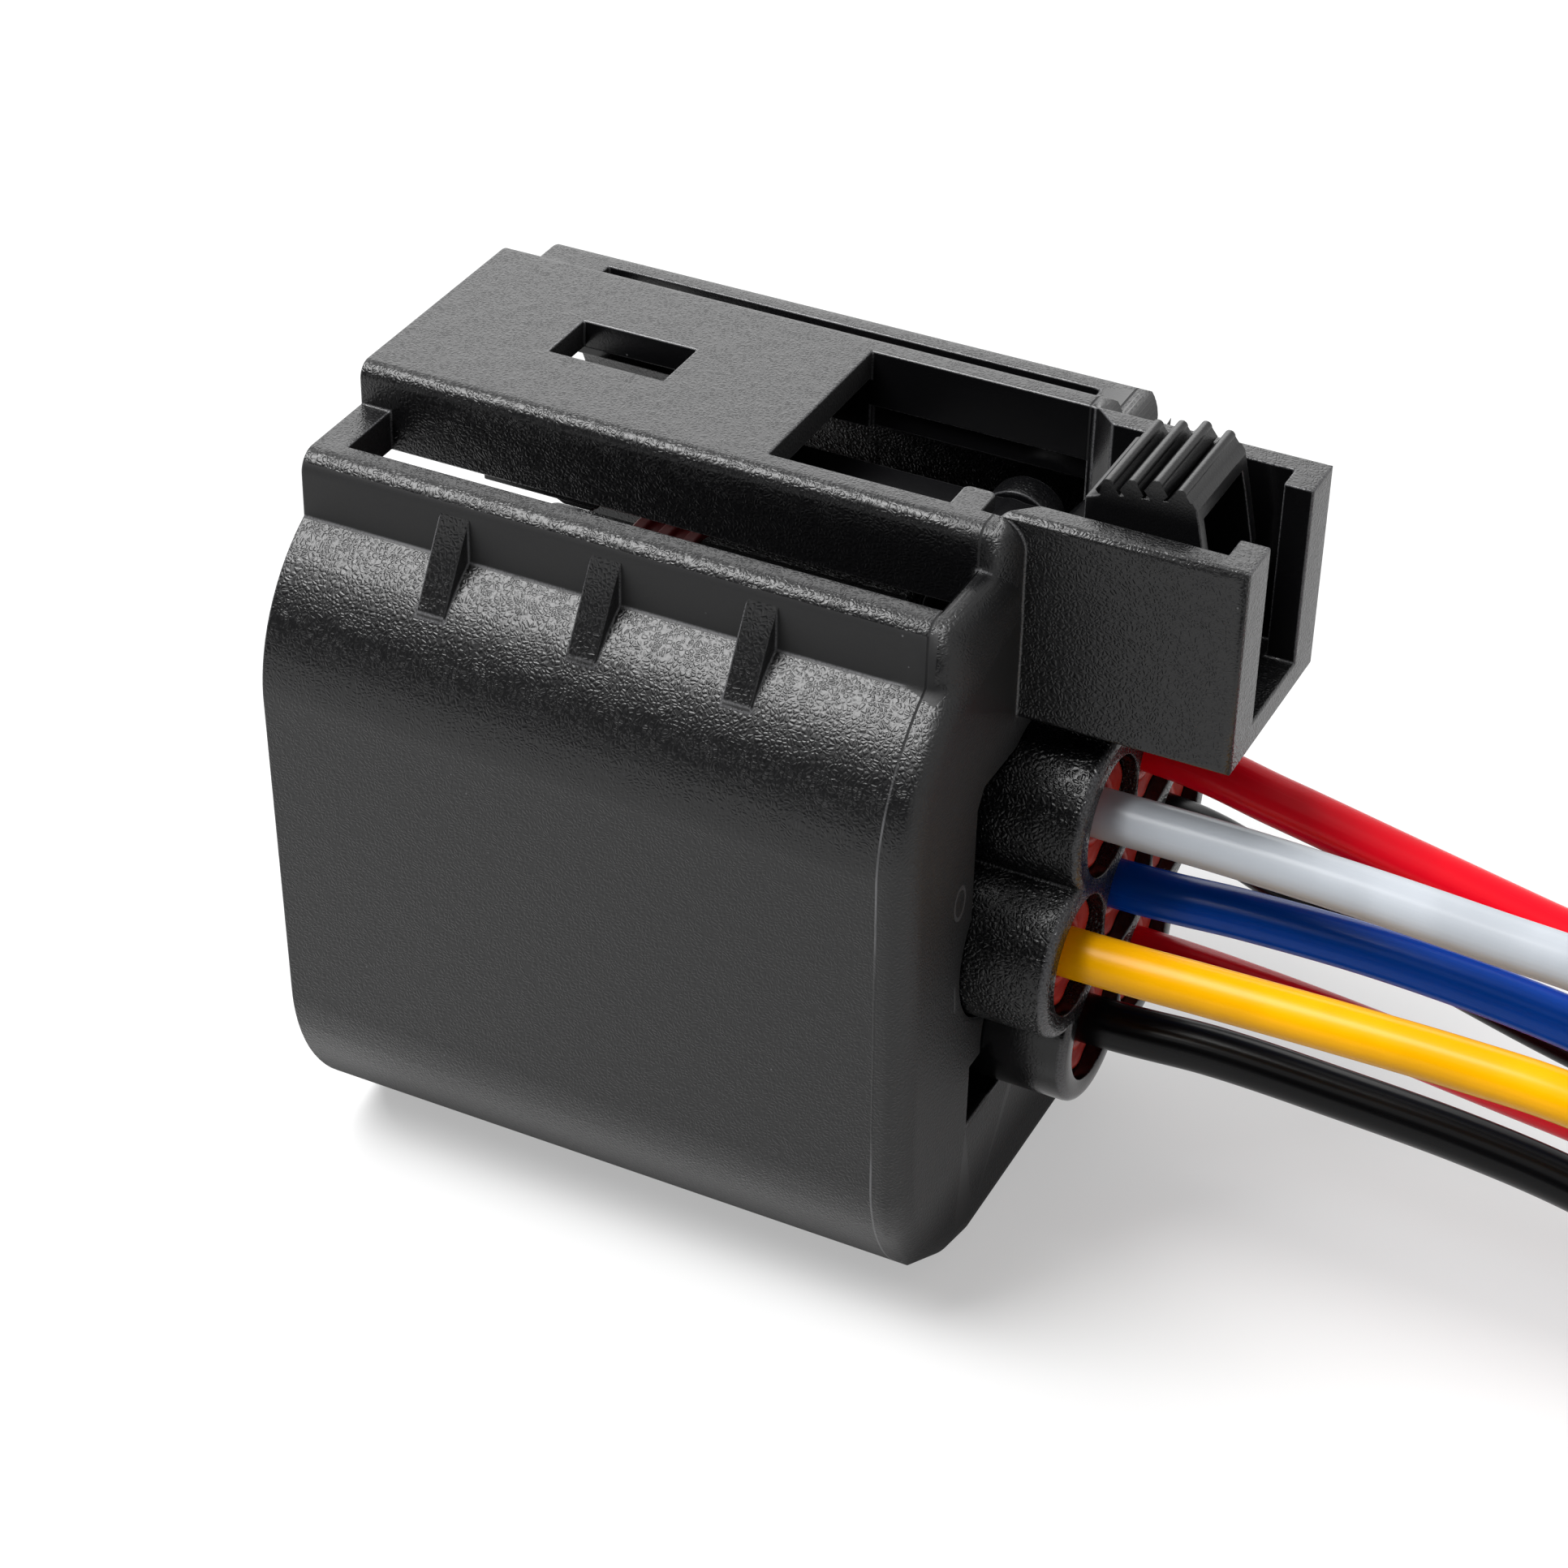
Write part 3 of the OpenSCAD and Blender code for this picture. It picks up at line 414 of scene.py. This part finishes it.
def softened(node, width, segments=2, apart=None, blended=None, flat_end=None):
    """A copy of a moulding in which each sharp edge is rolled over to a small radius, in as many flats as
    asked. apart is (test of an edge's two ends, radius, flats) for edges with a radius of their own, rolled
    first, and blended is a test for edges that stay, because two roundings run into each other there.
    flat_end is the place along X of a flat face that is filled anew within its rolled rims.
    The point attribute for edge wear is 1 along the middle of each rolled edge, where the finish paints the
    edge paler, partly as wear and partly as a painted highlight. The face attribute rear is 1 where a face
    at the rear looks back along the leads, and core is 1 where it was moulded by the polished core."""
    sharp, crease, blended_crease, flat_within = np.radians(28), np.radians(40), np.radians(80), 0.03 * MM
    work = bmesh.new()
    work.from_mesh(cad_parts[node].data)
    work.transform(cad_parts[node].matrix_world)
    bmesh.ops.remove_doubles(work, verts=work.verts, dist=1e-6)
    passes = [apart] if apart else []
    passes.append((None, width, segments))
    rolled = set()

    def stays(edge):
        return bool(blended and len(edge.link_faces) == 2
                    and blended(edge.verts[0].co, edge.verts[1].co, edge.calc_face_angle(0)))

    for test, radius, flats in passes:
        edges = [edge for edge in work.edges if len(edge.link_faces) == 2
                 and abs(edge.calc_face_angle_signed(0)) > sharp
                 and not stays(edge) and not all(face in rolled for face in edge.link_faces)
                 and (test is None or test(edge.verts[0].co, edge.verts[1].co))]
        rolled |= set(bmesh.ops.bevel(work, geom=edges, offset=radius, offset_type="OFFSET", segments=flats,
                                      profile=0.5, affect="EDGES", clamp_overlap=False,
                                      miter_outer="SHARP", miter_inner="SHARP")["faces"])
        rolled = {face for face in rolled if face.is_valid}
    if flat_end is not None:
        level = [face for face in work.faces if abs(face.normal.x) > 0.98
                 and all(abs(point.co.x - flat_end) < flat_within for point in face.verts)]
        edges = {edge for face in level for edge in face.edges}
        bmesh.ops.delete(work, geom=level, context="FACES")
        rim = [edge for edge in edges if edge.is_valid and len(edge.link_faces) == 1]
        for face in bmesh.ops.triangle_fill(work, use_beauty=True, edges=rim, normal=(1, 0, 0))["geom"]:
            if isinstance(face, bmesh.types.BMFace):
                face.normal_update()
                if face.normal.x < 0:
                    face.normal_flip()
    worn = work.verts.layers.float.new("worn")
    for point in work.verts:
        point[worn] = float(all(face in rolled for face in point.link_faces))
    rear = work.faces.layers.float.new("rear")
    core = work.faces.layers.float.new("core")
    for face in work.faces:
        face[core], face[rear] = core_and_rear(face.calc_center_median(), face.normal)
        face.smooth = True
    for edge in work.edges:
        bend = edge.calc_face_angle(0) if len(edge.link_faces) == 2 else np.pi
        edge.smooth = bool(bend < (blended_crease if stays(edge) else crease))
    mesh = bpy.data.meshes.new(node + "_soft")
    work.to_mesh(mesh)
    work.free()
    return mesh


def moulding(node, finish, slot, width, body="connector", **options):
    """Shows a softened copy in place of its node, with the flats keeping their own direction."""
    piece = add_piece(softened(node, width, **options), node + "_moulding", body, finish)
    even = piece.modifiers.new("even", "WEIGHTED_NORMAL")
    even.keep_sharp = True
    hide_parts(node)


def moulded(name, tone, worn_and_highlight_tone, grain, cell, roughness=0.25, shine=0.4, seam=None,
            polished_below=None, soft=0.25 * MM):
    """Etched plastic: wrinkled ridges from the folds between the cells of a warped pattern, finer specks
    on top, a drifting sheen, dust, and edges painted paler, partly as wear and partly as a painted
    highlight. cell is the width of a cell, grain the depth of the relief, roughness the least roughness,
    shine the strength of the mirror image, and soft how widely the rear corners shade into each other.
    What the core moulded, and what lies under the height polished_below, is smooth and shines. seam is
    the place along X of the parting line of the hood's mould: a hair-thin ridge low on the sides, painted
    paler along it as a painted highlight, that turns into a dark groove over the top. The hood also has
    a dull foot, and two small raised cavity numbers, 0 over 1, on its rear face, painted a little paler
    as a painted highlight on their relief."""
    finish = Finish(name, Specular_IOR_Level=shine)
    where = finish.node("TexCoord", out="Object")
    warp = finish.node("TexNoise", sockets={"Vector": where, "Scale": 700.0, "Detail": 2.0}, out="Color")
    shift = finish.node("VectorMath", {"operation": "SCALE"}, {0: warp, "Scale": 3.5 * cell})
    warped = finish.node("VectorMath", {"operation": "ADD"}, {0: where, 1: shift})
    cells = finish.node("TexVoronoi", {"feature": "DISTANCE_TO_EDGE"}, {"Vector": warped, "Scale": 1 / cell})
    specks = finish.node("TexNoise", sockets={"Vector": where, "Scale": 2.4 / cell, "Detail": 2.0})
    drift = finish.node("TexNoise", sockets={"Vector": where, "Scale": 90.0, "Detail": 3.0})
    grit = finish.node("TexVoronoi", {"feature": "F1"}, {"Vector": where, "Scale": 700.0})
    dust = 1.0 - grit.ramp(0.025, 0.05)
    worn, rear, core = [finish.node("Attribute", {"attribute_name": attribute}, out="Fac")
                        for attribute in ("worn", "rear", "core")]
    axes = finish.node("SeparateXYZ", sockets={"Vector": where}).socket.node
    along, across, upward = [Term(finish.tree, axis) for axis in axes.outputs]
    if polished_below is not None:
        core = core.math("MAXIMUM", core, 1.0 - upward.ramp(polished_below - 0.4 * MM, polished_below))
    # Rolled edges painted paler: partly wear, partly a painted highlight along each edge.
    rubbed_and_highlight = worn * (drift * 0.8 + specks * 0.8).ramp(0.45, 1.0)
    pale = rubbed_and_highlight.math("MAXIMUM", rubbed_and_highlight, dust * drift.ramp(0.52, 0.62) * 0.7)
    height = (cells.ramp(0.02, 0.34) * 0.8 + specks * 0.3) * (1.0 - core * 0.93)
    rough = roughness + specks * 0.12 + rear * 0.30 - rubbed_and_highlight * 0.08 - core * 0.10
    if seam is not None:
        foot = 1.0 - upward.ramp(3 * MM, 9 * MM)
        line = 1.0 - abs(along - seam).ramp(0.03 * MM, 0.08 * MM)
        low = 1.0 - upward.ramp(36 * MM, 40 * MM)
        rough = rough + foot * 0.5 + line * (1.0 - low) * 0.5
        # Painted highlight: the seam's ridge low on the sides is painted paler, as if it caught the light.
        pale = pale.math("MAXIMUM", pale, line * low * drift.ramp(0.42, 0.55) * 0.9)
        numbers_y, zero_z, one_z, lean = -12.5 * MM, 27.6 * MM, 21.2 * MM, 0.15 / MM
        half_width, half_height = 0.65 * MM, 0.95 * MM
        off = (across - numbers_y) / half_width
        ring = (off ** 2 + ((upward - zero_z) / half_height) ** 2) ** 0.5
        stroke = abs(off + (upward - one_z) * lean) + abs(upward - one_z).ramp(0.9 * MM, 1.0 * MM)
        marks = 2.0 - abs(ring - 1.0).ramp(0.09, 0.2) - stroke.ramp(0.09, 0.2)
        marks = marks * along.ramp(hood_rear_x - 0.08 * MM, hood_rear_x - 0.02 * MM)
        height = height + line * (low * 3.0 - 1.5) + marks * 2.0
        # Painted highlight: the raised numbers are painted paler, standing in for the light on their relief.
        pale = pale.math("MAXIMUM", pale, marks * 0.35)
    corner = (along.ramp(9 * MM, 10 * MM) * (1.0 - along.ramp(hood_rear_x, hood_rear_x + 0.1 * MM))
              * abs(across).ramp(6.4 * MM, 7 * MM))
    blend = finish.node("Bevel", {"samples": 3}, {"Radius": 0.08 * MM + corner * soft})
    finish.set("Normal", finish.node("Bump", sockets={"Height": height, "Strength": grain,
                                                      "Distance": 0.2 * cell, "Normal": blend}))
    finish.set("Roughness", rough)
    # The paler colour covers dust, edge wear, and painted highlights on the edges, the seam and the numbers.
    finish.set("Base Color", finish.between(pale, tone, worn_and_highlight_tone))
    return finish


def in_rear_corner(start, end, angle):
    """Whether an edge is a short line between the roundings of the hood's rear corners."""
    corners_begin_x, short = 10 * MM, 1.2 * MM
    return min(start.x, end.x) > corners_begin_x and angle < np.radians(80) and (start - end).length < short


# The second colour is the paler paint of edges, seam and numbers: partly wear, partly painted highlight.
hood_finish = moulded("hood_plastic", (0.0032, 0.0032, 0.0036), (0.12, 0.12, 0.125), grain=0.42,
                      cell=0.25 * MM, seam=parting_x, soft=0.5 * MM)
moulding("housing", hood_finish, "hood_plastic", 0.13 * MM, blended=in_rear_corner, flat_end=hood_rear_x)

# ---------------------------------------------------------------- terminal block
# The inner moulding that holds the seven contacts and carries the latch's pins in
# its ears, in a slightly glossier grade of polyamide with a coarser wrinkle. Its
# rear rim is well rounded.


def on_rear_rim(start, end):
    """Whether an edge lies on the block's rear face, outside the seven mouths."""
    mouth_reach, level_within = 4 * MM, 0.01 * MM
    mouths = {route[0][1:] for route in ROUTES.values()}
    reach = [min(np.hypot(point.y - y * MM, point.z - z * MM) for y, z in mouths) for point in (start, end)]
    return min(start.x, end.x) > block_end - level_within and min(reach) > mouth_reach


# The second colour is the paler paint of the rolled edges: partly wear, partly painted highlight.
block_finish = moulded("block_plastic", (0.0028, 0.0028, 0.0032), (0.08, 0.08, 0.085), grain=0.6,
                       cell=0.26 * MM, roughness=0.22, shine=0.32, polished_below=17.8 * MM)
moulding("terminal_block", block_finish, "block_plastic", 0.12 * MM, apart=(on_rear_rim, 0.5 * MM, 4))

# ---------------------------------------------------------------- latch
# A rocking lever of the hood's plastic, almost smooth, moulded in one piece with
# its catch, its ridged thumb pad and the two pins on which it turns in the ears
# of the terminal block.


def on_ridges(start, end, angle):
    """Whether an edge lies on the thumb pad's ridges, which have their own rounded tops."""
    ridges_foot_z, pad_front_x = 48.2 * MM, 15 * MM
    return min(start.z, end.z) > ridges_foot_z and min(start.x, end.x) > pad_front_x


# The second colour is the paler paint of the rolled edges: partly wear, partly painted highlight.
latch_finish = moulded("latch_plastic", (0.0032, 0.0032, 0.0036), (0.12, 0.12, 0.125), grain=0.10,
                       cell=0.22 * MM, roughness=0.26, polished_below=44 * MM, soft=0.08 * MM)
moulding("latch_lever", latch_finish, "latch_plastic", 0.10 * MM, body="latch", blended=on_ridges)

# ---------------------------------------------------------------- wire seals
# One ribbed plug of soft orange-red silicone around each lead, pressed into the
# mouth of its cavity. Its rear face swells into a wavy collar. Matt, with a
# faint bloom.


def silicone(name, deep, bright):
    """Rubber whose colour deepens in drifting patches, with a low, dull sheen and a soft uneven skin."""
    finish = Finish(name, Specular_IOR_Level=0.35)
    where = finish.node("TexCoord", out="Object")
    drift = finish.node("TexNoise", sockets={"Vector": where, "Scale": 420.0, "Detail": 3.0})
    skin = finish.node("TexNoise", sockets={"Vector": where, "Scale": 2600.0, "Detail": 2.0})
    finish.set("Roughness", 0.34 + skin * 0.22)
    finish.set("Normal", finish.node("Bump", sockets={"Height": drift * 0.7 + skin * 0.3, "Strength": 0.35,
                                                      "Distance": 0.00012}))
    finish.set("Base Color", finish.node("ValToRGB", {"stops": [(0.3, (*deep, 1)), (0.7, (*bright, 1))]},
                                         {"Fac": drift}))
    return finish


def turned(axis, profile, sides, wave, lobes=7):
    """Rings of points around an axis along X through (y, z): one ring for each (x, radius) of the profile.
    wave moves each ring's points along X in that many lobes, most in the middle of the profile."""
    angle = np.linspace(0, 2 * np.pi, sides, endpoint=False)[None, :]
    x, radius = np.array(profile, float).T[:, :, None]
    swell = np.sin(np.linspace(0, np.pi, len(profile)))[:, None] ** 2
    moved = x + wave * swell * np.sin(lobes * angle + 0.6)
    return np.stack([moved + 0 * angle, axis[0] + radius * np.cos(angle),
                     axis[1] + radius * np.sin(angle)], -1)


# The section of a plug, as pairs in mm. The first number is the distance ahead of the plug's rear face, or
# of a rib's start or end. The second is the distance outside the hole for LIP, and inside the rim otherwise.
LIP = [(0.9, 0), (0.25, 0.06), (0.05, 0.3), (0.12, 0.6), (0.45, 0.9), (0.55, 1.15)]
COLLAR = [(0.3, 0.5), (0.08, 0.25), (0.12, 0.08), (0.3, 0)]
RIB_START, RIB_END = [(0.7, 0), (1.0, 0.15), (1.2, 0.45)], [(-0.3, 0.45), (-0.1, 0.15), (0.1, 0)]
hole = lead_diameter / 2 + 0.02 * MM
plug_finish = silicone("seal_rubber", (0.42, 0.012, 0.004), (0.62, 0.030, 0.008))
for name, route in ROUTES.items():
    low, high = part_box("wire_seal_" + name)
    rim = (high.y - low.y) / 2
    rib_pitch = (high.x - low.x - 1.4 * MM) / 2
    section = [(high.x - ahead * MM, hole + out * MM) for ahead, out in LIP]
    section += [(high.x - ahead * MM, rim - deep * MM) for ahead, deep in COLLAR]
    for rib in range(2):
        rib_x = high.x - 0.3 * MM - rib * rib_pitch
        section += [(rib_x - ahead * MM, rim - deep * MM) for ahead, deep in RIB_START]
        section += [(rib_x - rib_pitch - ahead * MM, rim - deep * MM) for ahead, deep in RIB_END]
    section += [(low.x + 0.1 * MM, rim), (low.x, rim - 0.15 * MM), (low.x, hole)]
    rings = turned((route[0][1] * MM, route[0][2] * MM), section[::-1], sides=56, wave=0.10 * MM)
    seal = add_piece(grid_mesh("seal_" + name, rings), "wire_plug_" + name, "connector", plug_finish)
    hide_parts("wire_seal_" + name)

# ---------------------------------------------------------------- interface seal
# The ribbed ring around the tower, of the same kind of silicone, its red painted
# dark as shade for its place deep in the hood. It is stretched over the tower and
# held there by the retainer.

# Painted shade: the ring's red is darkened to stand in for the shade it sits in deep in the hood.
ring_painted_shade_finish = silicone("ring_rubber", (0.11, 0.004, 0.005), (0.19, 0.009, 0.009))
moulding("interface_seal", ring_painted_shade_finish, "ring_rubber", 0.18 * MM, segments=3)

# ---------------------------------------------------------------- retainer
# The plate that clips over the tower and locks the contacts: a plain grey-black
# moulding, duller than the hood and with hardly any grain.

# The second colour is the paler paint of the rolled edges: partly wear, partly painted highlight.
retainer_finish = moulded("retainer_plastic", (0.005, 0.005, 0.006), (0.09, 0.09, 0.095), grain=0.15,
                          cell=0.25 * MM, roughness=0.38)
moulding("front_retainer", retainer_finish, "retainer_plastic", 0.12 * MM)

# ---------------------------------------------------------------- contacts
# Seven box contacts, stamped and folded from tin-plated brass strip and crimped
# to the leads: bright, with fine drawing lines along the strip.

plating = Finish("contact_brass", Metallic=1.0)
plating_where = plating.node("TexCoord", out="Object")
lines = plating.node("Mapping", sockets={"Vector": plating_where, "Scale": (60.0, 4000.0, 4000.0)})
drawn = plating.node("TexNoise", sockets={"Vector": lines, "Scale": 1.0, "Detail": 2.0})
plating.set("Roughness", 0.22 + drawn * 0.2)
plating_stops = [(0.3, (0.55, 0.47, 0.32, 1)), (0.7, (0.80, 0.72, 0.55, 1))]
plating.set("Base Color", plating.node("ValToRGB", {"stops": plating_stops}, {"Fac": drawn}))
plating.set("Normal", plating.node("Bump", sockets={"Height": drawn, "Strength": 0.2, "Distance": 0.00002}))
for name in ROUTES:
    moulding("terminal_" + name, plating, "contact_brass", 0.08 * MM)
